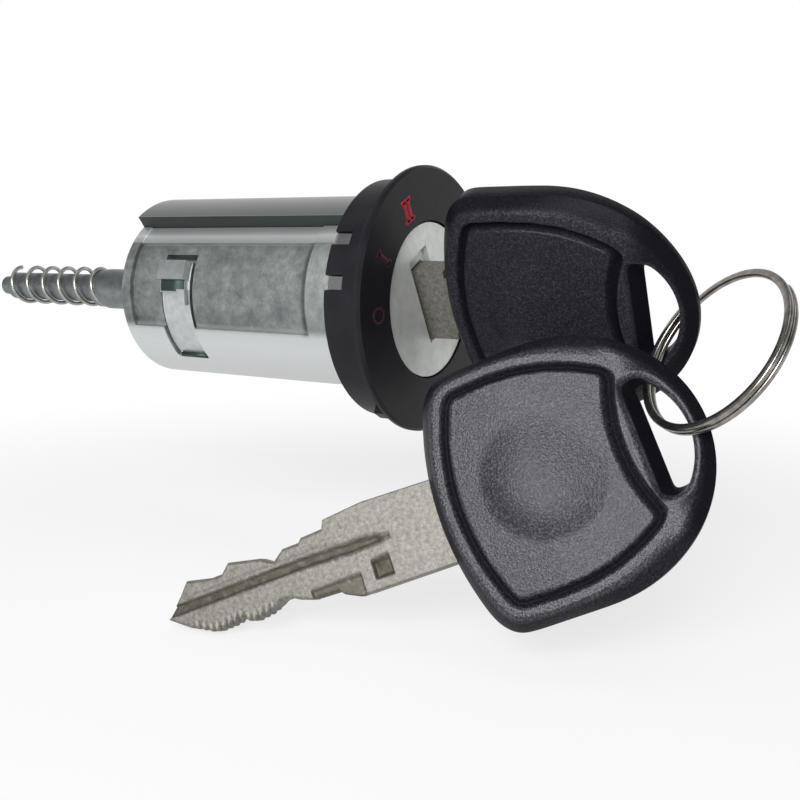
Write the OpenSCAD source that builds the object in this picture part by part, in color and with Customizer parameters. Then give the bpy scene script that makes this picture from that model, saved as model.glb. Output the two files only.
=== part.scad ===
// Ignition lock cylinder with its working key, a split ring and a spare key.
// The lock axis is X: the key end looks along +X and the drive tail along -X, with +Z up.
// The origin is on the lock axis, in the plane where the bezel collar seats.
// Clock angles are counted from +Z, anticlockwise as seen from the key end.

/* [Barrel] */
// Radius of the die-cast barrel
barrel_r = 10.5; // [9.8:0.05:11.2]
// Length of the barrel behind the seat plane
barrel_len = 33.6; // [32:0.1:36]
// Radius of the raised top land at its rear end
land_rear_r = 12; // [11.5:0.05:12]
// Radius of the raised top land at the seat plane
land_front_r = 11.8; // [11.3:0.05:12]
// Half of the angle that the top land spans
land_half_angle = 37; // [32:1:42]
// Radius of the barrel head that carries the bezel
head_r = 12; // [11.8:0.05:12.4]
// Length of the barrel head in front of the seat plane
head_len = 4.2; // [3.6:0.1:4.3]
// Length of the full-round band behind the seat plane
band_len = 4.9; // [4:0.1:6]
// Width of the full-round rim at the rear
rear_rim = 1.9; // [1.2:0.1:2.6]
// Depth of the smooth side strip under the land
strip_depth = 0.15; // [0.15:0.05:0.4]
// Depth of the rough cast side panel
panel_depth = 0.55; // [0.35:0.05:0.7]
// Thickness of the rear wall that carries the plug journal
rear_wall = 2.6; // [2:0.1:3.4]

/* [Bezel] */
// Outer radius of the bezel collar
collar_r = 13.6; // [13.2:0.05:14]
// Outer radius of the bezel flange
flange_r = 15; // [14.4:0.05:16]
// Thickness of the bezel flange
flange_t = 1; // [0.8:0.05:1.4]
// Width of a collar notch
notch_w = 1.6; // [1.2:0.1:2]
// Length of a collar notch from the seat plane
notch_len = 2.2; // [1.6:0.1:2.6]

/* [Plug] */
// Radius of the plug body
plug_r = 7.6; // [7.3:0.05:8]
// Radius of the plug face
plug_face_r = 8.75; // [8.4:0.05:9.2]
// Thickness of the plug head behind its face
plug_head_t = 4.6; // [3.8:0.1:4.8]
// Radius of the rear journal
journal_r = 4.5; // [4.1:0.05:4.9]
// Length of the journal behind the barrel
journal_out = 4.6; // [4.2:0.1:5.6]
// Clock angle of the keyway at rest
key_angle = 28.4; // [0:0.1:60]

/* [Wafers] */
// Thickness of a wafer
wafer_t = 1.2; // [1:0.05:1.3]
// Width of a wafer
wafer_w = 6; // [5.6:0.1:6.4]
// Height of a wafer
wafer_h = 13.4; // [12.8:0.1:13.6]
// Distance from wafer to wafer
wafer_pitch = 2.2; // [2.1:0.05:2.3]
// Distance of the first wafer behind the seat plane
wafer_first = 4.1; // [3.8:0.1:4.4]
// Wire diameter of a wafer spring
wafer_wire = 0.24; // [0.2:0.02:0.3]

/* [Tail] */
// Radius of the tail shoulder
shoulder_r = 2.75; // [2.7:0.05:3.4]
// Length of the tail shoulder
shoulder_len = 8; // [7:0.1:9]
// Radius of the tail neck
neck_r = 2.55; // [2.3:0.05:2.65]
// Length of the tail neck
neck_len = 1.8; // [1.2:0.1:3]
// Radius of the rod inside the spring
rod_r = 1.95; // [1.7:0.05:2.05]
// Length of the rod inside the spring
rod_len = 18.2; // [16:0.1:20]
// Radius of the tail tip
tip_r = 1.35; // [1:0.05:1.6]
// Length of the tail tip
tip_len = 2.5; // [1:0.1:3.5]
// Radius of the drive pin
pin_r = 0.75; // [0.6:0.05:0.9]
// Wire diameter of the tail spring
spring_wire = 0.55; // [0.4:0.05:0.7]
// Turns of the tail spring
spring_turns = 5; // [4:1:7]

/* [Detent clip] */
// Distance from the seat plane to the middle of the clip
clip_x = 24.4; // [22:0.1:26]
// Width of the clip leaf
clip_w = 4.4; // [3.8:0.1:5]
// Thickness of the clip leaf
clip_t = 0.5; // [0.4:0.05:0.6]
// How far the catch stands out of the barrel
catch_out = 0.8; // [0.5:0.05:1.1]
// Clock angle of the catch's upper edge
catch_angle = 66; // [60:1:70]
// Angle that the catch spans
catch_span = 21; // [16:1:24]
// Clock angle of the slit that holds the leaf's lower end
slit_angle = 135; // [128:1:140]

/* [Key head] */
// Length of the key head
key_head_len = 27.2; // [26.4:0.1:28]
// Half of the key head's width
key_head_half = 13.2; // [12.6:0.1:13.8]
// Thickness of the key head
key_head_t = 5.6; // [5:0.1:6]
// Rounding of the key head's edges
key_edge = 1.5; // [1.2:0.1:1.9]
// How far the head's blade side bows out
key_bow = 2.3; // [1.5:0.1:3]
// Width of the groove around the thumb pad
pad_groove_w = 0.9; // [0.6:0.05:1.2]
// Depth of the groove around the thumb pad
pad_groove_d = 0.6; // [0.4:0.05:0.8]
// Radius of the thumb boss
boss_r = 5.6; // [4.6:0.1:6]
// Height of the thumb boss above the pad
boss_h = 0.7; // [0.4:0.05:1]
// Width of the ring slot at its middle
ring_slot_w = 4.8; // [4.7:0.05:5]
// Width of the rim bar outside the ring slot
rim_bar = 1.7; // [1.6:0.05:1.8]
// Half of the ring slot's length
ring_slot_half = 5.9; // [5.8:0.05:6.1]
// Thickness of the rim around the ring slot
key_rim_t = 3.8; // [3.4:0.1:3.9]

/* [Key blade] */
// Length of the blade outside the head
blade_len = 31.7; // [31:0.1:32.4]
// Width of the blade next to the head
blade_w = 8.8; // [8.4:0.1:9.2]
// Thickness of the blade
blade_t = 2.4; // [2:0.05:2.6]
// Length of the tang inside the head
tang_len = 9; // [7:0.1:11]
// Width of the long groove in the blade
blade_groove_w = 0.9; // [0.6:0.05:1.2]
// Depth of the grooves in the blade
blade_groove_d = 0.55; // [0.3:0.05:0.7]
// Gap between the plug face and the key head
key_gap = 3.3; // [3:0.1:4]

/* [Split ring] */
// Mean radius of the split ring
ring_r = 8.8; // [8.7:0.05:8.9]
// Radial width of the ring wire
ring_wire_w = 0.9; // [0.7:0.05:1]
// Thickness of one turn of the ring wire
ring_wire_t = 0.6; // [0.5:0.02:0.62]

/* [Clearances] */
// Running clearance between the plug and the barrel
run_clear = 0.05; // [0.02:0.01:0.1]
// Clearance around pieces that are fitted once
fit_clear = 0.1; // [0.05:0.01:0.15]
// Clearance beside pieces that move
move_clear = 0.3; // [0.2:0.05:0.4]

/* [Hidden] */
// Segments of a full round
round_fn = 120;
small_fn = 48;
// Rough excess that lets a cut pass through a face
over = 1;

// Stations along the lock axis
face_x = head_len + fit_clear + flange_t;
plug_face_x = face_x - 2 * fit_clear;
plug_shoulder_x = plug_face_x - plug_head_t;
barrel_rear_x = -barrel_len;
plug_rear_x = barrel_rear_x + rear_wall + fit_clear;
journal_end_x = barrel_rear_x - journal_out;
tail_x = journal_end_x - fit_clear;
neck_x = tail_x - shoulder_len;
rod_x = neck_x - neck_len;
tip_x = rod_x - rod_len;
tail_end_x = tip_x - tip_len;
key_x = plug_face_x + key_gap;

// Top land and side panel, as clock angles
strip_top_angle = land_half_angle;
panel_top_angle = 52;
panel_low_angle = 111;
barrel_chamfer = 0.5;

// Lugs of the barrel head that lock the bezel, as clock angles
lug_angles = [59, 80, 239, 260];
lug_in = 0.35;

// Keyway and wafers
keyway_w = blade_t + 2 * fit_clear;
keyway_h = blade_w + 4 * fit_clear;
blade_tip_x = key_x - blade_len;
keyway_end_x = blade_tip_x - 2 * move_clear;
entry_d = 0.6;
entry_w = keyway_w + 1.6;
entry_h = keyway_h + 1.4;
wafer_count = 8;
ear_w = 1.5;
ear_h = 1;
ear_z = 1;
wafer_spring_r = 0.55;
wafer_spring_turns = 4;
wafer_spring_len = 3;

// Heights of the key's cuts at each wafer, above and below the blade's middle
bit_top = [3.1, 2.9, 2.7, 1.9, 2.8, 3.3, 2.5, 3.1];
bit_low = [3.6, 3.2, 2.8, 2.5, 3.1, 2.7, 2.9, 2.7];
bit_flat = wafer_t + 2 * fit_clear;
blade_half = blade_w / 2;
shank_len = key_x + wafer_first - bit_flat / 2 - fit_clear;
tip_back = 2.4;
tip_half = 0.4;
groove_root = 6.2;
groove_y = 0.55;

// Circlip on the journal
circlip_t = 0.7;
circlip_groove_d = 0.6;
circlip_out = 1.6;
circlip_gap = 50;
circlip_x = barrel_rear_x - move_clear - circlip_t;
pin_x = (circlip_x + journal_end_x) / 2;
tongue_len = 5.2;

// Tail spring around the rod
spring_r = rod_r + move_clear + spring_wire / 2;
spring_len = rod_len - spring_wire - move_clear;

// Detent clip in its groove
clip_outer_r = barrel_r - panel_depth + 0.15;
clip_inner_r = clip_outer_r - clip_t;
clip_travel = 1;
clip_floor_r = clip_inner_r - clip_travel;
clip_side = move_clear;
catch_r = barrel_r + catch_out;
lug_w = 1.4;
slit_open = 1.5;
slit_span = 6;
slit_grip = 4;

// Key head
key_side_end = 0.47 * key_head_len;
key_corner = 1.6;
key_corner_r = 2.2;
slot_in_x = key_head_len - rim_bar - ring_slot_w;
slot_out_r = 8;
slot_out_x = key_head_len - rim_bar - slot_out_r;
slot_corner = 0.8;
pad_front = 3.1;
pad_half = 10;
pad_back = slot_in_x - 1.2;
pad_waist = pad_back - 1.2;
pad_end_half = 7;
boss_x = 0.42 * key_head_len;
tang_w = 7;
grip_x = 0.38 * key_head_len;
pad_tilt = atan((key_head_t - key_rim_t) / 2 / (slot_in_x - pad_front));
boss_tilt = atan((key_head_t - key_rim_t) / 4 / (slot_in_x - grip_x));

// Where the ring and the spare key hang at rest
head_end_x = key_x + key_head_len;
ring_from_end = [1.96, -3.97, -3.32];
ring_turn = [0, 53.5, -127.52];
ring_phase = 147;
ring_gap = 0.08;
ring_turns = 1.95;
spare_from_end = [2.83, -6.49, -9.56];
spare_turn = [70.25, -23.88, 19.65];

// Helpers along the lock axis

// Round bar from station x0 to station x1
module bar(x0, x1, r, fn = round_fn) {
    translate([x0, 0, 0])
        rotate([0, 90, 0])
            cylinder(h = x1 - x0, r = r, $fn = fn);
}

// Round bar whose radius goes from r0 at x0 to r1 at x1
module taper(x0, x1, r0, r1, fn = round_fn) {
    translate([x0, 0, 0])
        rotate([0, 90, 0])
            cylinder(h = x1 - x0, r1 = r0, r2 = r1, $fn = fn);
}

// Part of a revolved profile between two clock angles; the profile is radius by station
module clock_sweep(a0, a1) {
    rotate([0, 90, 0])
        rotate([0, 0, 180 + a0])
            rotate_extrude(angle = a1 - a0, $fn = round_fn)
                children();
}

// Block of a ring between two radii, two clock angles and two stations
module ring_block(r0, r1, a0, a1, x0, x1) {
    clock_sweep(a0, a1)
        translate([r0, x0])
            square([r1 - r0, x1 - x0]);
}

// Wire of a given section carried round a helix about Z: radius, rise, then the section's corners
module helix(r, rise, turns, steps, section) {
    count = len(section);
    rings = [
        for (i = [0 : steps])
            let (a = 360 * turns * i / steps)
                for (p = section)
                    [(r + p[0]) * cos(a), (r + p[0]) * sin(a), rise * turns * i / steps + p[1]]
    ];
    sides = [
        for (i = [0 : steps - 1], k = [0 : count - 1])
            let (n = (k + 1) % count)
                [i * count + k, i * count + n, (i + 1) * count + n, (i + 1) * count + k]
    ];
    first = [for (k = [count - 1 : -1 : 0]) k];
    last = [for (k = [0 : count - 1]) steps * count + k];
    polyhedron(points = rings, faces = concat(sides, [first, last]), convexity = 8);
}

// Corners of a round wire's section
function wire_section(d, n) = [for (k = [0 : n - 1]) [d / 2 * cos(360 * k / n), d / 2 * sin(360 * k / n)]];

// Turns the key's own frame, blade along -X and face along +Z, into the plug's keyway
module in_keyway() {
    rotate([90 + key_angle, 0, 0])
        children();
}

// Barrel

module barrel_cuts() {
    // Side strip and rough side panel
    ring_block(barrel_r - strip_depth, barrel_r + over, strip_top_angle, panel_top_angle + over,
        barrel_rear_x + rear_rim + fit_clear, -band_len - fit_clear);
    ring_block(barrel_r - panel_depth, barrel_r + over, panel_top_angle, panel_low_angle,
        barrel_rear_x + rear_rim, -band_len);
    // Bore of the plug body, its head and its journal
    bar(plug_rear_x - fit_clear, face_x + over, plug_r + run_clear);
    bar(plug_shoulder_x - fit_clear, face_x + over, plug_face_r + fit_clear);
    bar(barrel_rear_x - over, 0, journal_r + run_clear);
    // Channels that take the wafers when the key is out
    for (turn = [0, 180])
        rotate([turn + key_angle + 67, 0, 0])
            translate([-wafer_first - wafer_count * wafer_pitch, -wafer_w / 2 - fit_clear, 0])
                cube([wafer_count * wafer_pitch + wafer_first / 2, wafer_w + 2 * fit_clear, plug_r + 1]);
    // Groove of the detent clip and the slit at its lower end
    clip_x0 = -clip_x - clip_w / 2 - clip_side;
    clip_x1 = -clip_x + clip_w / 2 + clip_side;
    ring_block(clip_floor_r, barrel_r + over, catch_angle - 6, slit_angle + slit_open, clip_x0, clip_x1);
    ring_block(clip_floor_r, clip_outer_r + fit_clear, slit_angle, slit_angle + slit_span, clip_x0, clip_x1);
}

module barrel() {
    color("silver")
        difference() {
            union() {
                taper(barrel_rear_x, barrel_rear_x + barrel_chamfer, barrel_r - barrel_chamfer, barrel_r);
                bar(barrel_rear_x + barrel_chamfer, 0, barrel_r);
                bar(0, head_len, head_r);
                clock_sweep(-land_half_angle, land_half_angle)
                    polygon([
                        [barrel_r - over, barrel_rear_x + barrel_chamfer],
                        [land_rear_r, barrel_rear_x + barrel_chamfer],
                        [land_front_r, 0],
                        [barrel_r - over, 0]
                    ]);
                for (a = lug_angles)
                    rotate([a, 0, 0])
                        translate([0, -notch_w / 2 + fit_clear, head_r - over])
                            cube([
                                notch_len - fit_clear,
                                notch_w - 2 * fit_clear,
                                collar_r - lug_in - head_r + over
                            ]);
            }
            barrel_cuts();
        }
}

// Bezel

module bezel_ring() {
    bevel = 0.3;
    tab_angle = 152;
    color([0.1, 0.1, 0.11])
        difference() {
            union() {
                bar(0, face_x - flange_t + bevel, collar_r);
                taper(face_x - flange_t, face_x - flange_t + bevel, flange_r - bevel, flange_r);
                bar(face_x - flange_t + bevel, face_x - bevel, flange_r);
                taper(face_x - bevel, face_x, flange_r, flange_r - bevel);
                // Index tab at the foot of the collar
                rotate([tab_angle, 0, 0])
                    translate([notch_len, -notch_w / 2, collar_r - over])
                        cube([face_x - flange_t - notch_len, notch_w, over + (flange_r - collar_r) / 2]);
            }
            bar(-over, head_len + fit_clear, head_r + fit_clear);
            bar(0, face_x + over, plug_face_r + 2 * fit_clear);
            for (a = lug_angles)
                rotate([a, 0, 0])
                    translate([-over, -notch_w / 2, head_r - over])
                        cube([notch_len + over, notch_w, 2 * over + collar_r - head_r]);
        }
}

// Detent clip

module detent_clip() {
    catch_low = catch_angle + catch_span;
    x0 = -clip_x - clip_w / 2;
    x1 = -clip_x + clip_w / 2;
    clip_mid_r = clip_outer_r - clip_t / 2;
    color("lightgray")
        union() {
            // Leaf from the catch down into the slit
            ring_block(clip_inner_r, clip_outer_r, catch_angle, slit_angle + slit_grip, x0, x1);
            // Catch with a ramp on its lower side
            ring_block(clip_mid_r, catch_r, catch_angle + 1, catch_low - 8, x0 + fit_clear, x1 - fit_clear);
            ring_block(clip_mid_r, (catch_r + clip_outer_r) / 2, catch_low - 9, catch_low, x0 + 2 * fit_clear,
                x1 - 2 * fit_clear);
            // Small lug below the catch, on the bezel side
            ring_block(clip_mid_r, clip_outer_r + catch_out, catch_low - 2, catch_low + 8, x1 - lug_w,
                x1 - fit_clear);
        }
}

// Plug with its keyway, wafer pockets and journal

module plug() {
    color([0.8, 0.81, 0.8])
        difference() {
            union() {
                bar(plug_rear_x, plug_face_x, plug_r);
                bar(plug_shoulder_x, plug_face_x, plug_face_r);
                bar(journal_end_x, plug_rear_x, journal_r, small_fn);
            }
            in_keyway() {
                // Keyway and its stepped entry
                translate([keyway_end_x, -keyway_h / 2, -keyway_w / 2])
                    cube([plug_face_x - keyway_end_x + over, keyway_h, keyway_w]);
                translate([plug_face_x - entry_d, -keyway_h / 2, -entry_w / 2])
                    cube([entry_d + over, entry_h, entry_w]);
                // Wafer pockets and the pockets of their springs
                for (i = [0 : wafer_count - 1])
                    translate([wafer_x(i), 0, 0]) {
                        cube([wafer_t + 2 * fit_clear, 2 * plug_r + over, wafer_w + 2 * fit_clear],
                            center = true);
                        translate([-wafer_t / 2 - fit_clear, ear_z - wafer_spring_len - 2 * fit_clear, 0])
                            cube([wafer_t + 2 * fit_clear, plug_r, wafer_w / 2 + ear_w + fit_clear]);
                    }
            }
            // Circlip groove, tongue bore and pin bore in the journal
            difference() {
                bar(circlip_x - fit_clear, circlip_x + circlip_t + fit_clear, journal_r + over, small_fn);
                bar(circlip_x - over, circlip_x + circlip_t + over, journal_r - circlip_groove_d, small_fn);
            }
            bar(journal_end_x - over, journal_end_x + tongue_len + fit_clear, rod_r + run_clear, small_fn);
            translate([pin_x, 0, -journal_r - over])
                cylinder(h = 2 * (journal_r + over), r = pin_r + run_clear, $fn = small_fn);
        }
}

// Wafers and their springs

function wafer_x(i) = -wafer_first - i * wafer_pitch;

module wafer(i) {
    window_low = -bit_low[i] - fit_clear;
    window_high = bit_top[i] + fit_clear;
    color("goldenrod")
        in_keyway()
            translate([wafer_x(i), 0, 0])
                difference() {
                    union() {
                        cube([wafer_t, wafer_h, wafer_w], center = true);
                        // Ear that rests on the spring
                        translate([-wafer_t / 2, ear_z, 0])
                            cube([wafer_t, ear_h, wafer_w / 2 + ear_w]);
                    }
                    translate([-wafer_t, window_low, -keyway_w / 2])
                        cube([2 * wafer_t, window_high - window_low, keyway_w]);
                }
}

module wafer_spring(i) {
    rise = (wafer_spring_len - wafer_wire - 2 * fit_clear) / wafer_spring_turns;
    color("gainsboro")
        in_keyway()
            translate([wafer_x(i), ear_z - fit_clear - wafer_wire / 2, wafer_w / 2 + ear_w / 2])
                rotate([90, 0, 0])
                    helix(wafer_spring_r - wafer_wire / 2, rise, wafer_spring_turns,
                        10 * wafer_spring_turns, wire_section(wafer_wire, 5));
}

// Retaining circlip on the journal

module retaining_circlip() {
    color("dimgray")
        ring_block(journal_r - circlip_groove_d + run_clear, journal_r + circlip_out,
            circlip_gap / 2, 360 - circlip_gap / 2, circlip_x, circlip_x + circlip_t);
}

// Drive tail

module tail_shaft() {
    bevel = 0.4;
    color("darkgray")
        difference() {
            union() {
                bar(tail_x, journal_end_x + tongue_len, rod_r, small_fn);
                bar(neck_x, tail_x, shoulder_r, small_fn);
                bar(rod_x, neck_x, neck_r, small_fn);
                bar(tip_x, rod_x, rod_r, small_fn);
                bar(tail_end_x + bevel, tip_x, tip_r, small_fn);
                taper(tail_end_x, tail_end_x + bevel, tip_r - bevel, tip_r, small_fn);
            }
            translate([pin_x, 0, -shoulder_r])
                cylinder(h = 2 * shoulder_r, r = pin_r + run_clear, $fn = small_fn);
        }
}

module tail_pin() {
    color("gray")
        translate([pin_x, 0, -journal_r])
            cylinder(h = 2 * journal_r, r = pin_r, $fn = small_fn);
}

module tail_spring() {
    color("lightsteelblue")
        translate([rod_x - spring_wire / 2, 0, 0])
            rotate([0, -90, 0])
                helix(spring_r, (spring_len - spring_wire) / spring_turns, spring_turns,
                    28 * spring_turns, wire_section(spring_wire, 8));
}

// Keys, drawn with the head's blade side at the origin and the blade along -X

// Outline of the key head: bowed blade side, straight flanks, elliptic back
function head_outline() = concat(
    [for (k = [-8 : 8]) [key_bow * pow(k / 8, 2), (key_head_half - key_corner) * k / 8]],
    [[key_bow + key_corner, key_head_half]],
    [for (a = [90 : -7.5 : -90])
        [key_side_end + (key_head_len - key_side_end) * cos(a), key_head_half * sin(a)]],
    [[key_bow + key_corner, -key_head_half]]
);

// Outline of the thumb pad: bowed front, flanks that close in, waist around the ring slot
function pad_outline() = concat(
    [for (k = [-6 : 6]) [pad_front + key_bow * pow(k / 6, 2), pad_half * k / 6]],
    [[grip_x, pad_half], [(grip_x + pad_back) / 2 + 1, pad_half - 0.8]],
    [for (k = [5 : -1 : -5]) [pad_waist + (pad_back - pad_waist) * pow(k / 5, 2), pad_end_half * k / 5]],
    [[(grip_x + pad_back) / 2 + 1, 0.8 - pad_half], [grip_x, -pad_half]]
);

// Half section of the thumb boss, with its foot sunk into the pad
function boss_profile() = concat(
    [[0, -over / 2], [boss_r, -over / 2]],
    [for (k = [6 : -1 : 0]) [boss_r * k / 6, boss_h * (1 - pow(k / 6, 2))]]
);

module ring_slot() {
    offset(r = slot_corner, $fn = 20)
        offset(delta = -slot_corner)
            intersection() {
                translate([slot_out_x, 0])
                    circle(r = slot_out_r, $fn = 60);
                translate([slot_in_x, -ring_slot_half])
                    square([ring_slot_w, 2 * ring_slot_half]);
            }
}

// Slab of the head outline, inset all round and cut off behind a given length
module head_slab(inset, half, back) {
    translate([0, 0, -half])
        linear_extrude(2 * half)
            intersection() {
                offset(r = key_corner_r - inset, $fn = 32)
                    offset(delta = -key_corner_r)
                        polygon(head_outline());
                translate([-over, -key_head_half - over])
                    square([back + over, 2 * (key_head_half + over)]);
            }
}

module head_solid() {
    half = key_head_t / 2;
    rim_half = key_rim_t / 2;
    rim_edge = rim_half / 2;
    difference() {
        union() {
            // Thin rim all round, then the thicker grip that thins towards the ring slot
            hull() {
                head_slab(0, rim_half - rim_edge, key_head_len + over);
                head_slab(rim_edge * 0.3, rim_half - rim_edge * 0.3, key_head_len + over);
                head_slab(rim_edge, rim_half, key_head_len + over);
            }
            hull() {
                head_slab(0, half - key_edge, grip_x);
                head_slab(key_edge * 0.3, half - key_edge * 0.3, grip_x);
                head_slab(key_edge, half, grip_x);
                head_slab(rim_edge, rim_half, slot_in_x);
            }
            // Boss for the thumb on both faces
            for (side = [0, 1])
                mirror([0, 0, side])
                    translate([boss_x, 0, half])
                        rotate([0, boss_tilt, 0])
                            rotate_extrude($fn = small_fn)
                                polygon(boss_profile());
        }
        translate([0, 0, -key_head_t])
            linear_extrude(2 * key_head_t)
                ring_slot();
        // Groove around the thumb pad on both faces
        for (side = [0, 1])
            mirror([0, 0, side])
                translate([0, 0, half + pad_front * sin(pad_tilt) - pad_groove_d])
                    rotate([0, pad_tilt, 0])
                        linear_extrude(key_head_t)
                            difference() {
                                offset(r = pad_groove_w, $fn = 20)
                                    polygon(pad_outline());
                                polygon(pad_outline());
                            }
        // Pocket of the blade's tang
        translate([-over, -tang_w / 2 - run_clear, -blade_t / 2 - run_clear])
            cube([tang_len + over + run_clear, tang_w + 2 * run_clear, blade_t + 2 * run_clear]);
    }
}

// One flank of the bitted blade from the shank to the tip, as heights above the middle line
function flank(cuts) = concat(
    [[-shank_len, blade_half]],
    [for (i = [0 : wafer_count - 1], e = [1, -1])
        [wafer_x(i) - key_x + e * bit_flat / 2, cuts[i]]],
    [[-blade_len + tip_back, tip_half + tip_back / 2], [-blade_len, tip_half]]
);

module blade_solid() {
    upper = flank(bit_top);
    lower = flank(bit_low);
    outline = concat(
        [[0, -blade_half], [0, blade_half]],
        upper,
        [for (k = [len(lower) - 1 : -1 : 0]) [lower[k][0], -lower[k][1]]]
    );
    pocket_y = -blade_half * 0.8;
    difference() {
        union() {
            translate([0, 0, -blade_t / 2])
                linear_extrude(blade_t)
                    polygon(outline);
            translate([-over, -tang_w / 2, -blade_t / 2])
                cube([tang_len + over, tang_w, blade_t]);
        }
        for (side = [-1, 1])
            translate([0, 0, side * blade_t / 2 - blade_groove_d]) {
                // Long groove with a round end, milled pocket and the step below it
                translate([-blade_len - over, groove_y - blade_groove_w / 2, 0])
                    cube([blade_len + over - groove_root, blade_groove_w, 2 * blade_groove_d]);
                translate([-groove_root, groove_y, 0])
                    cylinder(h = 2 * blade_groove_d, r = blade_groove_w / 2, $fn = small_fn);
                translate([-groove_root - 1.8, pocket_y, 0])
                    cube([1.9, 1.8, 2 * blade_groove_d]);
                translate([-shank_len - 3.4, -blade_half - over, 0])
                    cube([5.4, blade_half * 0.4 + over, 2 * blade_groove_d]);
            }
    }
}

module at_key() {
    in_keyway()
        translate([key_x, 0, 0])
            children();
}

module at_spare() {
    translate([head_end_x, 0, 0])
        translate(spare_from_end)
            rotate(spare_turn)
                translate([-key_head_len, 0, 0])
                    children();
}

module key_blade() {
    color([0.72, 0.71, 0.66])
        at_key()
            blade_solid();
}

module key_head() {
    color([0.12, 0.12, 0.14])
        at_key()
            head_solid();
}

module spare_key_blade() {
    color([0.74, 0.73, 0.68])
        at_spare()
            blade_solid();
}

module spare_key_head() {
    color([0.16, 0.16, 0.18])
        at_spare()
            head_solid();
}

// Split ring of flat wire, wound almost twice round

module split_ring() {
    w = ring_wire_w / 2;
    t = ring_wire_t / 2;
    rise = ring_wire_t + ring_gap;
    color("lightgray")
        translate([head_end_x, 0, 0])
            translate(ring_from_end)
                rotate(ring_turn)
                    translate([0, 0, -rise * ring_turns / 2])
                        rotate([0, 0, ring_phase])
                            helix(ring_r, rise, ring_turns, 96, [[-w, -t], [w, -t], [w, t], [-w, t]]);
}

barrel();
bezel_ring();
detent_clip();
plug();
wafer(0);  // wafer_1
wafer(1);  // wafer_2
wafer(2);  // wafer_3
wafer(3);  // wafer_4
wafer(4);  // wafer_5
wafer(5);  // wafer_6
wafer(6);  // wafer_7
wafer(7);  // wafer_8
wafer_spring(0);  // wafer_spring_1
wafer_spring(1);  // wafer_spring_2
wafer_spring(2);  // wafer_spring_3
wafer_spring(3);  // wafer_spring_4
wafer_spring(4);  // wafer_spring_5
wafer_spring(5);  // wafer_spring_6
wafer_spring(6);  // wafer_spring_7
wafer_spring(7);  // wafer_spring_8
retaining_circlip();
tail_shaft();
tail_pin();
tail_spring();
key_blade();
key_head();
split_ring();
spare_key_blade();
spare_key_head();
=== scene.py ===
"""Looks of an ignition lock cylinder with a key in it and a spare key on a split ring.

Lengths are written in millimetres in each piece's own drawing frame and turned to metres when
the mesh is made. The row frame has the lock axis along X, the key end at +X and Z up. A clock
angle is counted in degrees about X, from the top towards -Y, the side that the photo shows.
"""
import math

import bpy
import numpy as np
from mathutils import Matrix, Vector


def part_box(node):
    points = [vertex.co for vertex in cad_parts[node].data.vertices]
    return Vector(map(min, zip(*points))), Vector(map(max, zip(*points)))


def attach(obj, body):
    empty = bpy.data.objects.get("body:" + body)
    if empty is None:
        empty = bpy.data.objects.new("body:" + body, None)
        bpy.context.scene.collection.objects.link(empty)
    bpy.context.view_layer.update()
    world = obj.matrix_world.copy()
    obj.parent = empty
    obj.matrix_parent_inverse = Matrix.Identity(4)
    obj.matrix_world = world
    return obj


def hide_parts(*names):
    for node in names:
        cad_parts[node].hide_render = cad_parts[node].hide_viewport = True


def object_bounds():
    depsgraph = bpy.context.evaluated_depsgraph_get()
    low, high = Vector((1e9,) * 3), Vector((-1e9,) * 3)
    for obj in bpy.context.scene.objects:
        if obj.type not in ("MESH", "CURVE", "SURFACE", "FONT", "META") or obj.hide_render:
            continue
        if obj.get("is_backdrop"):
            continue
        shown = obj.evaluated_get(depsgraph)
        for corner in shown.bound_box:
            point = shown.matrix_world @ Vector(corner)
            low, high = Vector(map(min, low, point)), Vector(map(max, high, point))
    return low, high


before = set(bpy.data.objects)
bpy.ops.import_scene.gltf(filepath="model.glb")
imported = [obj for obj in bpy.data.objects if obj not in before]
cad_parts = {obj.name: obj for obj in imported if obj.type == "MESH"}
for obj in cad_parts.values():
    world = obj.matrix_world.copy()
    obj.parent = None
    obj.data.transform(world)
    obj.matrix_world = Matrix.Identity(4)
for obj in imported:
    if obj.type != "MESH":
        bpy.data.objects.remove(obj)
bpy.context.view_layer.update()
MM = 0.001


# Placing and meshing

def turn_xyz(degrees):
    """Rotation matrix for turns about X, then Y, then Z, in degrees."""
    a, b, c = np.radians(degrees)
    rx = np.array([[1, 0, 0], [0, np.cos(a), -np.sin(a)], [0, np.sin(a), np.cos(a)]])
    ry = np.array([[np.cos(b), 0, np.sin(b)], [0, 1, 0], [-np.sin(b), 0, np.cos(b)]])
    rz = np.array([[np.cos(c), -np.sin(c), 0], [np.sin(c), np.cos(c), 0], [0, 0, 1]])
    return rz @ ry @ rx


def placed(points, place, turn):
    """Points turned about their own origin and then moved to a place, all in millimetres."""
    return points @ turn_xyz(turn).T + np.asarray(place, float)


def wrapped_quads(rows, columns, closed_rows):
    """Quads of a grid of rows by columns whose columns close on themselves, and whose rows may."""
    i = np.arange(rows if closed_rows else rows - 1)[:, None]
    j = np.arange(columns)[None, :]
    a = i * columns + j
    b = i * columns + (j + 1) % columns
    c = ((i + 1) % rows) * columns + (j + 1) % columns
    d = ((i + 1) % rows) * columns + j
    return np.stack([a, b, c, d], -1).reshape(-1, 4)


def tube(sections):
    """Points, quads and end caps of closed sections in a row, given as rows by corners by values."""
    rows, corners = sections.shape[:2]
    caps = (np.arange(corners)[::-1], (rows - 1) * corners + np.arange(corners))
    return sections.reshape(rows * corners, -1), wrapped_quads(rows, corners, False), caps


def crowded(count, share):
    """Steps from 0 to 1 that crowd towards both ends."""
    t = np.linspace(0, 1, count)[None, :]
    return t - share * np.sin(2 * np.pi * t)


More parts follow.
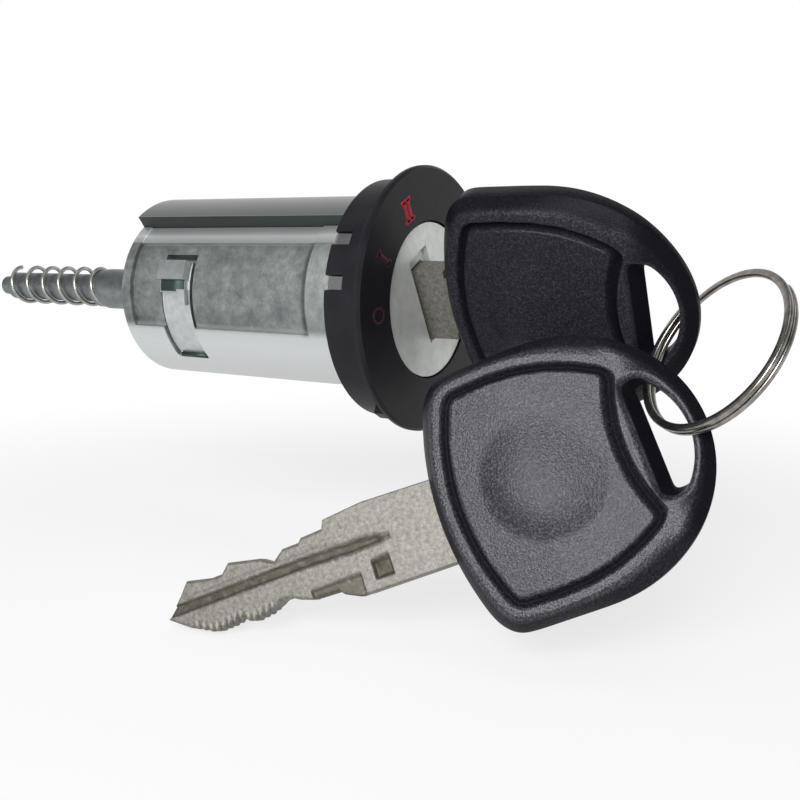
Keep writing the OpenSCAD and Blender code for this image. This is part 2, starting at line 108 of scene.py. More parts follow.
def enclosed(points, faces):
    """Signed volume inside a set of polygons, each cut into a fan of triangles."""
    total = 0.0
    for size in {len(f) for f in faces}:
        corner = points[np.array([f for f in faces if len(f) == size])]
        for k in range(1, size - 1):
            total += np.einsum("ij,ij->", corner[:, 0], np.cross(corner[:, k], corner[:, k + 1]))
    return total / 6


def make_piece(name, points, quads, body, slot, finish, replaces=None, caps=(), **values):
    """Mesh object from millimetre points and quads, with its faces turned outward.

    End caps are added as extra polygons, and each named array of point values becomes an attribute.
    """
    faces = [list(map(int, q)) for q in quads] + [list(map(int, c)) for c in caps]
    if enclosed(points - points.mean(0), faces) < 0:
        faces = [f[::-1] for f in faces]
    mesh = bpy.data.meshes.new(name)
    mesh.from_pydata((points * MM).tolist(), [], faces)
    mesh.polygons.foreach_set("use_smooth", np.ones(len(faces), bool))
    mesh.update()
    for key, at_points in values.items():
        attribute = mesh.attributes.new(key, "FLOAT", "POINT")
        attribute.data.foreach_set("value", at_points.astype(np.float32))
    piece = bpy.data.objects.new(name, mesh)
    bpy.context.collection.objects.link(piece)
    mesh.materials.append(finish)
    if replaces:
        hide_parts(replaces)
    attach(piece, body)
    return piece


# Finishes

def calculated(tree, kind, a, b):
    """Output of a math node whose two inputs are numbers or other nodes' outputs."""
    made = tree.nodes.new("ShaderNodeMath")
    made.operation = kind
    for socket, value in zip(made.inputs, (a, b)):
        if isinstance(value, (int, float)):
            socket.default_value = value
        else:
            tree.links.new(value, socket)
    return made.outputs["Value"]


class Finish:
    """A node material that is built up by small calls, with places in the object's own metres."""

    def __init__(self, name, metallic=0.0, roughness=0.5, **sockets):
        self.material = bpy.data.materials.new(name)
        self.material.use_nodes = True
        self.tree = self.material.node_tree
        self.shader = self.tree.nodes["Principled BSDF"]
        self.shader.inputs["Metallic"].default_value = metallic
        self.shader.inputs["Roughness"].default_value = roughness
        for key, value in sockets.items():
            self.shader.inputs[key.replace("_", " ")].default_value = value
        self.where = self.node("ShaderNodeTexCoord").outputs["Object"]

    def node(self, kind, **settings):
        """New node of a kind, with its settings."""
        made = self.tree.nodes.new(kind)
        for key, value in settings.items():
            setattr(made, key, value)
        return made

    def link(self, a, b):
        """Lead output a into input b."""
        self.tree.links.new(a, b)

    def point_value(self, name):
        """Value that a mesh carries at its points under a name, or 0 where it has none."""
        return self.node("ShaderNodeAttribute", attribute_name=name).outputs["Fac"]

    def noise(self, per_mm, detail=3.0, rough=0.6):
        """Noise with a given count of waves per millimetre."""
        tex = self.node("ShaderNodeTexNoise")
        tex.inputs["Scale"].default_value = per_mm / MM
        tex.inputs["Detail"].default_value = detail
        tex.inputs["Roughness"].default_value = rough
        self.link(self.where, tex.inputs["Vector"])
        return tex.outputs["Fac"]

    def ramp(self, fac, stops):
        """Colour ramp over (position, colour) stops."""
        made = self.node("ShaderNodeValToRGB")
        ends = made.color_ramp.elements
        while len(ends) < len(stops):
            ends.new(0.5)
        for end, (at, colour) in zip(ends, stops):
            end.position = at
            end.color = (*colour, 1)
        self.link(fac, made.inputs["Fac"])
        return made.outputs["Color"]

    def span(self, fac, low, high):
        """A 0 to 1 value carried to low to high."""
        made = self.node("ShaderNodeMapRange")
        made.inputs["To Min"].default_value = low
        made.inputs["To Max"].default_value = high
        self.link(fac, made.inputs["Value"])
        return made.outputs["Result"]

    def step(self, value, start, end):
        """Smooth step of a value from 0 at start to 1 at end."""
        made = self.node("ShaderNodeMapRange", interpolation_type="SMOOTHSTEP")
        made.inputs["From Min"].default_value = start
        made.inputs["From Max"].default_value = end
        self.link(value, made.inputs["Value"])
        return made.outputs["Result"]

    def band(self, value, rise, fall):
        """1 between two smooth steps and 0 outside them; each step is given from its 0 to its 1."""
        return self.calc("MULTIPLY", self.step(value, *rise), self.step(value, *fall))

    def calc(self, kind, a, b=0.0):
        """Math node over two numbers or outputs."""
        return calculated(self.tree, kind, a, b)

    def blend(self, fac, a, b):
        """Colour a where fac is 0 and b where it is 1. The node has other sockets before its colours."""
        made = self.node("ShaderNodeMix", data_type="RGBA")
        self.link(fac, made.inputs["Factor"])
        for socket, value in zip((made.inputs[6], made.inputs[7]), (a, b)):
            if isinstance(value, tuple):
                socket.default_value = (*value, 1)
            else:
                self.link(value, socket)
        return made.outputs[2]

    def axes(self):
        """The x, y and z of a place."""
        made = self.node("ShaderNodeSeparateXYZ")
        self.link(self.where, made.inputs["Vector"])
        return made.outputs

    def colour(self, socket):
        """Lead a colour into the shader."""
        self.link(socket, self.shader.inputs["Base Color"])

    def rough(self, socket):
        """Lead a roughness into the shader."""
        self.link(socket, self.shader.inputs["Roughness"])

    def bump(self, height, depth_mm, strength=1.0):
        """Bump of a height field whose full range is depth_mm."""
        made = self.node("ShaderNodeBump")
        made.inputs["Strength"].default_value = strength
        made.inputs["Distance"].default_value = depth_mm * MM
        self.link(height, made.inputs["Height"])
        self.link(made.outputs["Normal"], self.shader.inputs["Normal"])


def die_cast_zinc():
    """Satin zinc with a tone that goes round with the clock angle, which is painted light and shade.

    The land is painted darker towards its step, with a painted shadow on that step. The strip beside
    it has a painted highlight line, and the underside is paler, a painted reflection of the floor.
    The clip's side is a rough cast panel that is fainter on the front band and has a painted shadow
    line behind that band. The lugs in front of the seat plane are painted darker, as shade.
    """
    f = Finish("die_cast_zinc", metallic=0.9, roughness=0.45)
    x, y, z = f.axes()
    clock = f.calc("ARCTAN2", f.calc("MULTIPLY", y, -1.0), z)
    clock = f.calc("MULTIPLY", clock, math.degrees(1))
    side = f.band(clock, (51.6, 52.6), (114.0, 107.0))
    panel = f.calc("MULTIPLY", side, f.span(f.step(x, -4.6 * MM, -5.0 * MM), 0.82, 1.0))
    mottle = f.noise(0.5, 8, 0.76)
    fine = f.noise(4.0, 4, 0.65)
    # Painted light by clock angle: darker down the land, a painted highlight line on the strip at 44 to 48,
    # and a paler underside as a painted reflection of the floor
    painted_light_tones = [(0, 0.40), (20, 0.32), (36, 0.25), (38, 0.66), (44, 0.76), (46, 0.92), (48, 0.78),
             (51, 0.62), (100, 0.52), (122, 0.66), (180, 0.62)]
    half_turn = 180
    turn = f.calc("MULTIPLY", f.calc("ABSOLUTE", clock), 1 / half_turn)
    skin_painted_light = f.ramp(turn, [(at / half_turn, (0.97 * grey, grey, grey)) for at, grey in painted_light_tones])
    cast = f.ramp(mottle, [(0.3, (0.10, 0.12, 0.118)), (0.5, (0.19, 0.21, 0.205)),
                           (0.7, (0.31, 0.325, 0.32))])
    metal = f.blend(panel, skin_painted_light, cast)
    # Painted shade: the lugs in front of the seat plane are darker
    metal = f.blend(f.step(x, 0.1 * MM, 0.3 * MM), metal, (0.13, 0.135, 0.14))
    # Painted shade: a dark band on the step under the land and a dark line on the panel behind the front
    # band, in one dark colour
    painted_shade_under_land = f.band(clock, (36.6, 36.9), (37.6, 37.2))
    painted_shadow_by_band = f.band(x, (-6.1 * MM, -5.4 * MM), (-4.7 * MM, -5.0 * MM))
    painted_shadow_by_band = f.calc("MULTIPLY", f.calc("MULTIPLY", painted_shadow_by_band, side), 0.8)
    f.colour(f.blend(f.calc("MAXIMUM", painted_shade_under_land, painted_shadow_by_band), metal, (0.045, 0.055, 0.053)))
    f.rough(f.calc("ADD", f.span(panel, 0.40, 0.56), f.span(fine, -0.06, 0.08)))
    grain = f.calc("MULTIPLY", f.calc("ADD", mottle, fine), f.span(panel, 0.08, 1.0))
    f.bump(grain, 0.10, 0.6)
    return f.material


def bezel_plastic():
    """Black moulded plastic with a slight orange-peel."""
    f = Finish("bezel_plastic", roughness=0.42, Specular_IOR_Level=0.14)
    f.colour(f.ramp(f.noise(0.35, 3), [(0.3, (0.008, 0.008, 0.010)), (0.75, (0.013, 0.013, 0.016))]))
    f.rough(f.span(f.noise(1.5, 4), 0.34, 0.5))
    f.bump(f.noise(3.0, 3), 0.015, 0.5)
    return f.material


def plug_metal():
    """Pale plated metal with a faint mottle and a fine grain."""
    f = Finish("plug_metal", metallic=0.6, roughness=0.5)
    f.colour(f.ramp(f.noise(0.5, 5), [(0.3, (0.58, 0.60, 0.58)), (0.7, (0.74, 0.76, 0.74))]))
    f.rough(f.span(f.noise(2.5, 4), 0.42, 0.58))
    f.bump(f.noise(6.0, 3), 0.02, 0.5)
    return f.material


def drawn_steel(name, low, high, roughness, waves):
    """Bright or dull steel with a fine mottle."""
    f = Finish(name, metallic=0.95, roughness=roughness)
    f.colour(f.ramp(f.noise(waves, 4), [(0.3, low), (0.7, high)]))
    f.rough(f.span(f.noise(waves * 3, 3), roughness - 0.08, roughness + 0.1))
    f.bump(f.noise(waves * 6, 2), 0.01, 0.4)
    return f.material


def key_nickel():
    """Nickel-plated blade: pale, warm grey with a tumbled speckle, brown where it has patina and painted
    shade.
    """
    f = Finish("key_nickel", metallic=0.6, roughness=0.55)
    speck = f.noise(2.6, 5, 0.75)
    plate = f.ramp(speck, [(0.30, (0.095, 0.090, 0.075)), (0.5, (0.18, 0.173, 0.153)),
                           (0.7, (0.27, 0.263, 0.24))])
    tarnish_and_shade = f.ramp(f.noise(1.2, 4, 0.7), [(0.35, (0.030, 0.027, 0.018)), (0.6, (0.070, 0.064, 0.046)),
                                            (0.72, (0.17, 0.16, 0.125))])
    f.colour(f.blend(f.point_value("patina"), plate, tarnish_and_shade))
    f.rough(f.span(speck, 0.46, 0.64))
    f.bump(speck, 0.035, 0.5)
    return f.material


def key_plastic():
    """Black plastic with a fine grain that catches the light in small specks.

    The heads carry a painted light value: a painted highlight, high on the ridge and less on the pad,
    and painted shade near 0 in the groove and the slot, where the colour is near black.
    """
    f = Finish("key_plastic", roughness=0.4)
    sheen = f.point_value("sheen")
    grain = f.noise(5.0, 2, 0.6)
    patch = f.noise(0.25, 3, 0.6)
    speck = f.ramp(grain, [(0.36, (0.007, 0.0072, 0.011)), (0.52, (0.022, 0.022, 0.030)),
                           (0.66, (0.066, 0.066, 0.082))])
    # Painted shade where the painted light is low: the colour goes near black and the specular level drops
    f.colour(f.blend(sheen, (0.004, 0.004, 0.006), speck))
    f.rough(f.calc("ADD", f.span(grain, 0.26, 0.42), f.span(patch, -0.04, 0.06)))
    f.link(f.span(sheen, 0.02, 0.36), f.shader.inputs["Specular IOR Level"])
    f.bump(grain, 0.085, 0.85)
    return f.material


def dial_red(name, low, high):
    """Red marking paint, a little worn."""
    f = Finish(name, roughness=0.5, Specular_IOR_Level=0.2)
    f.colour(f.ramp(f.noise(4.0, 4), [(0.3, low), (0.65, high)]))
    f.rough(f.span(f.noise(6.0, 2), 0.42, 0.6))
    return f.material


def wafer_brass():
    """Stamped brass."""
    f = Finish("wafer_brass", metallic=0.95, roughness=0.35)
    f.colour(f.ramp(f.noise(1.0, 4), [(0.3, (0.55, 0.40, 0.15)), (0.7, (0.68, 0.52, 0.24))]))
    f.rough(f.span(f.noise(5.0, 3), 0.28, 0.45))
    return f.material


ZINC = die_cast_zinc()
BEZEL = bezel_plastic()
PLUG = plug_metal()
SPRING = drawn_steel("spring_steel", (0.55, 0.55, 0.52), (0.74, 0.74, 0.70), 0.25, 1.2)
TAIL_SPRING = drawn_steel("tail_spring_steel", (0.26, 0.26, 0.24), (0.46, 0.455, 0.43), 0.32, 1.2)
TAIL = drawn_steel("tail_steel", (0.15, 0.165, 0.17), (0.25, 0.27, 0.275), 0.42, 0.8)
CLIP = drawn_steel("clip_steel", (0.46, 0.485, 0.485), (0.60, 0.62, 0.62), 0.36, 1.0)
RING = drawn_steel("ring_steel", (0.16, 0.15, 0.138), (0.36, 0.34, 0.315), 0.22, 0.9)
NICKEL = key_nickel()
GRIP = key_plastic()
RED = dial_red("dial_red", (0.26, 0.010, 0.018), (0.42, 0.016, 0.03))
WORN_RED = dial_red("dial_red_worn", (0.016, 0.008, 0.010), (0.050, 0.009, 0.012))
# Painted shade: dark steel for the plates under the clip's catch and on its slit
PAINTED_SHADE = drawn_steel("painted_shade_steel", (0.035, 0.05, 0.05), (0.06, 0.08, 0.08), 0.55, 1.0)
BRASS = wafer_brass()

finish_of = {
    "barrel": ZINC, "bezel_ring": BEZEL, "plug": PLUG, "detent_clip": CLIP,
    "retaining_circlip": SPRING, "tail_shaft": TAIL, "tail_pin": TAIL, "tail_spring": TAIL_SPRING,
    "key_blade": NICKEL, "spare_key_blade": NICKEL, "key_head": GRIP, "spare_key_head": GRIP,
    "split_ring": RING,
}
for node_name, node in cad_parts.items():
    chosen = finish_of.get(node_name, SPRING if "spring" in node_name else BRASS)
    for held in node.material_slots:
        held.material = chosen


# Key heads, drawn with u from the front edge towards the ring, y across and z through the thickness

HEAD_LEN, HEAD_HALF, HEAD_T, HEAD_BOW, HEAD_CORNER = 27.2, 13.2, 5.6, 2.3, 1.6
HEAD_SIDE = 0.47 * HEAD_LEN
RIM_T, RIM_BAR, RIM_AT, RIM_RUN = 3.8, 1.75, 20.9, 10.5
SLOT_W, SLOT_HALF, SLOT_ARC, SLOT_LIP = 4.7, 5.85, 8.0, 1.4
PAD_AT, PAD_BOW, PAD_HALF = 3.0, 2.3, 10.1
PAD_FLANK = np.array([[9.0, 10.25], [12.0, 10.05], [14.8, 9.45], [17.4, 8.4]])
WAIST_AT, WAIST_BOW, WAIST_HALF = 18.2, 1.5, 7.1
BOSS_AT, BOSS_R, BOSS_RISE, BOSS_LEAN = 11.5, 6.3, 0.6, math.radians(222)
GROOVE_W, GROOVE_MORE, GROOVE_DEEP, RIDGE_W = 0.95, 0.4, 0.75, 0.75
FLANK_FALL, BAR_DROP, BAR_ROUND, LIP_W, LIP_DEEP = 0.6, 0.65, 1.5, 0.6, 0.5
# Painted light: highlight on the heads' ridge and pad, painted shade in groove, flank, bar and working head
PAD_PAINTED_LIGHT, RIDGE_PAINTED_LIGHT, WORKING_HEAD_PAINTED_SHADE = 0.9, 1.15, 0.45
GROOVE_PAINTED_SHADE, FLANK_PAINTED_SHADE, BAR_PAINTED_SHADE = 0.97, 0.8, 0.8
# Stretches of u over which the slab drops, the groove widens, the flank turns into the bar and the bar gets
# painted shade
DROP_SPAN, WIDER_SPAN, BAR_SPAN, BAR_SHADE_SPAN = (21.5, 25.8), (16.5, 18.5), (19.0, 22.0), (20.6, 23.4)
# Reach of the mean that rounds the corners of each loop
OUTLINE_SOFT, PAD_SOFT, MOUTH_SOFT, LIP_SOFT = 1.0, 0.4, 0.55, 0.4
KEY_PLACE, KEY_TURN = (8.4, 0, 0), (118.4, 0, 0)
SPARE_END, SPARE_TURN = (38.43, -6.49, -9.56), (70.25, -23.88, 19.65)
SPARE_PLACE = np.array(SPARE_END) - turn_xyz(SPARE_TURN) @ [HEAD_LEN, 0, 0]


def even_loop(points, count):
    """Closed outline resampled at equal steps along its length."""
    ring = np.vstack([points, points[:1]])
    length = np.r_[0, np.cumsum(np.hypot(*np.diff(ring, axis=0).T))]
    at = np.linspace(0, length[-1], count, endpoint=False)
    return np.c_[np.interp(at, length, ring[:, 0]), np.interp(at, length, ring[:, 1])]


def softened(points, reach):
    """Closed outline with its corners rounded: a running Gaussian mean along its length."""
    count = 2048
    fine = even_loop(points, count)
    step = np.hypot(*(fine[1] - fine[0]))
    k = np.fft.fftfreq(count, step)
    low = np.exp(-2 * (np.pi * k * reach) ** 2)
    z = np.fft.ifft(np.fft.fft(fine[:, 0] + 1j * fine[:, 1]) * low)
    return np.c_[z.real, z.imag]


def head_loop():
    """Head outline: a parabola bowed towards the blade, straight flanks, and half an ellipse behind."""
    t = np.linspace(-1, 1, 60)
    front = np.c_[HEAD_BOW * t ** 2, (HEAD_HALF - HEAD_CORNER) * t]
    a = np.linspace(np.pi / 2, -np.pi / 2, 120)
    back = np.c_[HEAD_SIDE + (HEAD_LEN - HEAD_SIDE) * np.cos(a), HEAD_HALF * np.sin(a)]
    shoulder = HEAD_BOW + HEAD_CORNER
    return np.vstack([front, [[shoulder, HEAD_HALF]], back, [[shoulder, -HEAD_HALF]]])


def slot_loop(lip):
    """Ring slot: the part of a disc behind a straight line, which a lip moves back, between two flanks."""
    inner = HEAD_LEN - RIM_BAR - SLOT_W + lip
    centre = HEAD_LEN - RIM_BAR - SLOT_ARC
    reach = SLOT_HALF - 0.5 * lip
    y = np.linspace(-reach, reach, 90)
    outer = np.c_[centre + np.sqrt(SLOT_ARC ** 2 - y ** 2), y]
    return np.vstack([outer, [[inner, reach]], [[inner, -reach]]])


def pad_loop():
    """Thumb pad: bowed front, flanks that close in, and a waist that follows the ring slot."""
    t = np.linspace(-1, 1, 40)
    front = np.c_[PAD_AT + PAD_BOW * t ** 2, PAD_HALF * t]
    waist = np.c_[WAIST_AT + WAIST_BOW * t[::-1] ** 2, WAIST_HALF * t[::-1]]
    return np.vstack([front, PAD_FLANK, waist, PAD_FLANK[::-1] * [1, -1]])


def loop_distance(points, loop):
    """Distance from points to a closed outline, and whether each point is inside it."""
    best = np.full(len(points), 1e9)
    inside = np.zeros(len(points), bool)
    for (ax, ay), (bx, by) in zip(loop, np.roll(loop, -1, axis=0)):
        dx, dy = bx - ax, by - ay
        px, py = points[:, 0] - ax, points[:, 1] - ay
        t = np.clip((px * dx + py * dy) / (dx * dx + dy * dy + 1e-12), 0, 1)
        best = np.minimum(best, np.hypot(px - t * dx, py - t * dy))
        if ay != by:
            inside ^= ((ay > points[:, 1]) != (by > points[:, 1])) & (px < dx * py / dy)
    return best, inside


def smooth_step(value, start, end):
    """Cubic step from 0 at start to 1 at end."""
    t = np.clip((value - start) / (end - start), 0, 1)
    return t * t * (3 - 2 * t)


def head_face(points, outline, slot, pad):
    """Height and painted light of the head's face.

    The height is a slab that thins towards the ring, falls away outside its border ridge and rounds
    into the slot. A steep groove, wider at the waist, runs round the pad, and a low round boss on the
    pad is higher on one side. The painted light is a painted highlight on the ridge, less on the pad,
    and painted shade in the groove, on the outer flank and on the bar behind the slot.
    """
    u, y = points.T
    half, rim = HEAD_T / 2, RIM_T / 2
    base = rim + (half - rim) * np.clip((RIM_AT - u) / RIM_RUN, 0, 1)
    base = base - BAR_DROP * smooth_step(u, *DROP_SPAN)
    to_edge, _ = loop_distance(points, outline)
    to_slot, _ = loop_distance(points, slot)
    to_pad, in_pad = loop_distance(points, pad)
    away = np.where(in_pad, -to_pad, to_pad)
    wide = GROOVE_W + GROOVE_MORE * smooth_step(u, *WIDER_SPAN) * smooth_step(-np.abs(y), -8, -6.5)
    groove = np.sin(np.pi * np.clip(away / wide, 0, 1)) ** 0.8
    rho = np.clip(np.hypot(u - BOSS_AT, y) / BOSS_R, 0, 1)
    steep = ((u - BOSS_AT) * np.cos(BOSS_LEAN) + y * np.sin(BOSS_LEAN)) / BOSS_R
    boss = BOSS_RISE * (1 + steep) * (1 - rho ** 3) ** 1.5
    beyond = np.maximum(away - wide - RIDGE_W, 0)
    by_bar = smooth_step(u, *BAR_SPAN)
    bar_round = 1 - np.clip(to_edge / BAR_ROUND, 0, 1)
    down = (1 - by_bar) * beyond / (beyond + to_edge + 1e-9) + by_bar * bar_round
    fall = FLANK_FALL * base * down ** 1.5
    lip = 1 - np.clip(to_slot / LIP_W, 0, 1)
    lip_fall = LIP_DEEP * (1 - np.sqrt(np.maximum(1 - lip ** 2, 0)))
    height = base - GROOVE_DEEP * groove + boss - fall - lip_fall
    flank_shade = smooth_step(down, 0.08, 0.5)
    bar_shade = smooth_step(u, *BAR_SHADE_SPAN) * smooth_step(to_slot, 0.35, 0.7)
    sheen = np.where(in_pad, PAD_PAINTED_LIGHT, RIDGE_PAINTED_LIGHT)
    sheen = sheen * (1 - GROOVE_PAINTED_SHADE * groove) * (1 - FLANK_PAINTED_SHADE * flank_shade) * (1 - BAR_PAINTED_SHADE * bar_shade)
    return height, sheen


def key_head_surface():
    """Head as one closed ring of sections, with its painted light.

    Each section runs from the slot's lip at mid thickness up its wall, over one face to the outline,
    round to the other face and back. Rays from the slot's middle join the loops.
    """
    count, steps, wall_steps = 340, 116, 8
    outline = even_loop(softened(head_loop(), OUTLINE_SOFT), count)
    pad = even_loop(softened(pad_loop(), PAD_SOFT), 260)
    middle = np.array([HEAD_LEN - RIM_BAR - SLOT_W / 2 + SLOT_LIP / 2, 0.0])
    ray = np.arctan2(*(outline - middle).T[::-1])

    def reach_of(loop):
        """Distance from the middle to a loop along each ray."""
        away = loop - middle
        angle = np.arctan2(*away.T[::-1])
        order = np.argsort(angle)
        return np.interp(ray, angle[order], np.hypot(*away.T)[order], period=2 * np.pi)[:, None]

    mouth = softened(slot_loop(0.0), MOUTH_SOFT)
    lip = reach_of(softened(slot_loop(SLOT_LIP), LIP_SOFT))
    inner, outer = reach_of(mouth), reach_of(outline)
    reach = inner + (outer - inner) * crowded(steps, 0.12)
    w = np.linspace(0, 1, wall_steps, endpoint=False)[None, :]
    reach = np.concatenate([lip + (inner - lip) * w, reach], 1)
    flat = middle + reach[..., None] * np.stack([np.cos(ray), np.sin(ray)], -1)[:, None, :]
    face = flat[:, wall_steps:].reshape(-1, 2)
    relief = head_face(face, outline, even_loop(mouth, 160), pad)
    height, sheen = (value.reshape(count, steps) for value in relief)
    height = np.concatenate([height[:, :1] * w, height], 1)
    # The slot's wall gets no painted light: painted shade
    sheen = np.concatenate([np.zeros((count, wall_steps)), sheen], 1)
    top = np.concatenate([flat, height[..., None], sheen[..., None]], -1)
    low = (top * [1, 1, -1, 1])[:, :0:-1]
    ring = np.concatenate([top, low], 1)
    quads = wrapped_quads(count, ring.shape[1], True)
    ring = ring.reshape(-1, 4)
    return ring[:, :3], quads, ring[:, 3]


head_points, head_quads, head_sheen = key_head_surface()
# The working key's head carries less painted light than the spare's: painted shade over the whole head
make_piece("key_head_grip", placed(head_points, KEY_PLACE, KEY_TURN), head_quads, "plug",
           "key_plastic", GRIP, "key_head", sheen=WORKING_HEAD_PAINTED_SHADE * head_sheen)
make_piece("spare_key_head_grip", placed(head_points, SPARE_PLACE, SPARE_TURN), head_quads, "spare_key",
           "key_plastic", GRIP, "spare_key_head", sheen=head_sheen)


# Spare key blade

BLADE_HALF_T, BLADE_THIN, BLADE_LEN, BLADE_IN = 1.2, 0.3, 31.8, 1.2
TOOTH_PITCH, TOOTH_DEEP = 0.74, 0.16
# Upper and lower edge of the blade: distance from the head's front and height above the middle line
TOP_EDGE = np.array([(0, 3.9), (7.3, 4.3), (11.8, 4.0), (12.2, 3.2), (14.7, 3.1), (15.1, 2.7),
                     (17.0, 2.7), (18.4, 1.7), (19.8, 2.6), (23.4, 3.4), (24.4, 2.5), (25.7, 2.5),
                     (28.6, 3.15), (29.7, 1.9), (31.8, 0.12)])
LOW_EDGE = np.array([(0, -4.8), (10.3, -4.65), (11.9, -3.9), (12.3, -3.5), (15.3, -3.35), (16.6, -2.9),
                     (17.6, -2.35), (18.6, -2.35), (20.2, -3.15), (22.4, -3.4), (23.3, -2.7),
                     (24.7, -3.0), (26.8, -3.05), (29.5, -1.7), (31.8, -0.12)])
# Rectangles on the face: from and to along the blade, then from and to across it
TEETH = (19.6, 28.8, -1, 1)
SHELF = (12.2, 34.0, 1.0, 1.5)
POCKET = (6.1, 8.0, -3.6, -1.7)
SIDE_STEP = (9.5, 15.1, -6.0, -2.5)
GROOVE_CUT, SHELF_CUT, POCKET_CUT, STEP_CUT = 0.5, 0.12, 0.55, 0.42


def box_mask(a, y, a0, a1, y0, y1, ease=0.14):
    """1 inside a rectangle, with eased borders, and 0 outside."""
    along = smooth_step(a, a0 - ease, a0 + ease) * smooth_step(-a, -a1 - ease, -a1 + ease)
    return along * smooth_step(y, y0 - ease, y0 + ease) * smooth_step(-y, -y1 - ease, -y1 + ease)


def blade_surface():
    """Blade as sections along its length, with its patina and painted shade.

    Each section runs over the front face from the upper to the lower edge and back over the rear face.
    The edges are straight between the cuts, and the half thickness eases down to them. A long pointed
    groove, a shallow shelf, a pocket, a side step and fine teeth are cut into both faces.
    """
    rows, across = 480, 56
    a = np.linspace(-BLADE_IN, BLADE_LEN, rows)[:, None]
    wave = 0.5 + 0.5 * np.sin(2 * np.pi * a / TOOTH_PITCH)
    teeth = wave * box_mask(a, 0 * a, *TEETH, ease=0.4)
    high = np.interp(a, *TOP_EDGE.T)
    low = np.interp(a, *LOW_EDGE.T) + TOOTH_DEEP * teeth
    y = high + (low - high) * crowded(across, 0.11)
    ease = 0.16 + 0.3 * smooth_step(a, 11.5, 12.5)
    edge = 1 - np.clip(np.minimum(high - y, y - low) / ease, 0, 1)
    # Middle line and half width of the groove, which starts from a point
    line = 0.15 + 0.35 * np.clip((a - 6.0) / 9.0, 0, 1)
    wide = 0.62 * np.clip((a - 5.3) / 2.6, 0, 1) ** 0.6
    groove = 1 - smooth_step(np.abs(y - line) - wide, -0.22, 0.0)
    shelf = box_mask(a, y, *SHELF, ease=0.2)
    pocket = box_mask(a, y, *POCKET)
    step = box_mask(a, y, *SIDE_STEP)
    ribs = teeth * smooth_step(low - y, -1.1, -0.2)
    half = BLADE_HALF_T - GROOVE_CUT * groove - SHELF_CUT * shelf - POCKET_CUT * pocket
    half = half - STEP_CUT * step - TOOTH_DEEP * ribs
    half = np.maximum(half - ease * (1 - np.sqrt(1 - edge ** 2)), BLADE_THIN)
    # Patina and painted shade: darker in the groove, the pocket, the side step and between the teeth
    patina = np.maximum(np.maximum(0.9 * groove, pocket), 0.75 * step)
    patina = np.maximum(patina, 0.5 * smooth_step(ribs, 0.5, 0.9))
    face = np.stack([np.broadcast_to(-a, y.shape), y, half, patina], -1)
    rear = (face * [1, 1, -1, 1])[:, ::-1]
    points, quads, caps = tube(np.concatenate([face, rear], 1))
    return points[:, :3], quads, caps, points[:, 3]


points, quads, caps, blade_patina = blade_surface()
make_piece("spare_key_blade_cut", placed(points, SPARE_PLACE, SPARE_TURN), quads, "spare_key",
           "key_steel", NICKEL, "spare_key_blade", caps, patina=blade_patina)


# Painted shade: dark plates on the detent clip, under its catch and on the slit at its lower end

def curved_plate(low_r, high_r, x0, x1, clock0, clock1):
    """Plate on the lock's cylinder: a rectangle of stations by radii carried round clock angles."""
    rows = 12
    a = np.radians(np.linspace(clock0, clock1, rows))[:, None]
    x = np.broadcast_to([[x0, x0, x1, x1]], (rows, 4))
    r = np.array([[low_r, high_r, high_r, low_r]])
    return tube(np.stack([x, -r * np.sin(a), r * np.cos(a)], -1))


# Inner and outer radius, rear and front station, first and last clock angle
painted_shade_plates = {"catch_window_painted_shade": (10.5, 10.86, -26.15, -22.55, 78.4, 86.2),
          "clip_slit_painted_shade": (9.9, 10.53, -26.4, -22.2, 134.3, 136.4)}
for plate_name, plate in painted_shade_plates.items():
    points, quads, caps = curved_plate(*plate)
    make_piece(plate_name, points, quads, "detent", "spring_steel", PAINTED_SHADE, caps=caps)


# Split ring and tail spring

def wire_section(width, height, power, count):
    """Section of a wire: a superellipse of a given width and height."""
    a = np.linspace(0, 2 * np.pi, count, endpoint=False)
    c, s = np.cos(a), np.sin(a)
    return np.c_[np.sign(c) * np.abs(c) ** (2 / power) * width / 2,
                 np.sign(s) * np.abs(s) ** (2 / power) * height / 2]


def wound_wire(radius, rise, turns, section):
    """A section carried round a helix about Z, which climbs by a rise for each turn."""
    steps = 360
    a = np.linspace(0, 2 * np.pi * turns, steps + 1)[:, None]
    r = radius + section[None, :, 0]
    z = rise * a / (2 * np.pi) + section[None, :, 1]
    return tube(np.stack([r * np.cos(a), r * np.sin(a), z], -1))


RING_PLACE, RING_TURN, RING_PHASE = (38.296, -4.129, -3.491), (0, 58.715, -130.391), 239
RING_R, RING_RISE, RING_TURNS = 8.378, -0.62, 1.753
points, quads, caps = wound_wire(RING_R, RING_RISE, RING_TURNS, wire_section(0.8, 0.55, 3.5, 20))
points[:, 2] -= RING_RISE * RING_TURNS / 2
points = points @ turn_xyz((0, 0, RING_PHASE)).T
make_piece("split_ring_wire", placed(points, RING_PLACE, RING_TURN), quads, "ring", "ring_steel", RING,
           "split_ring", caps)

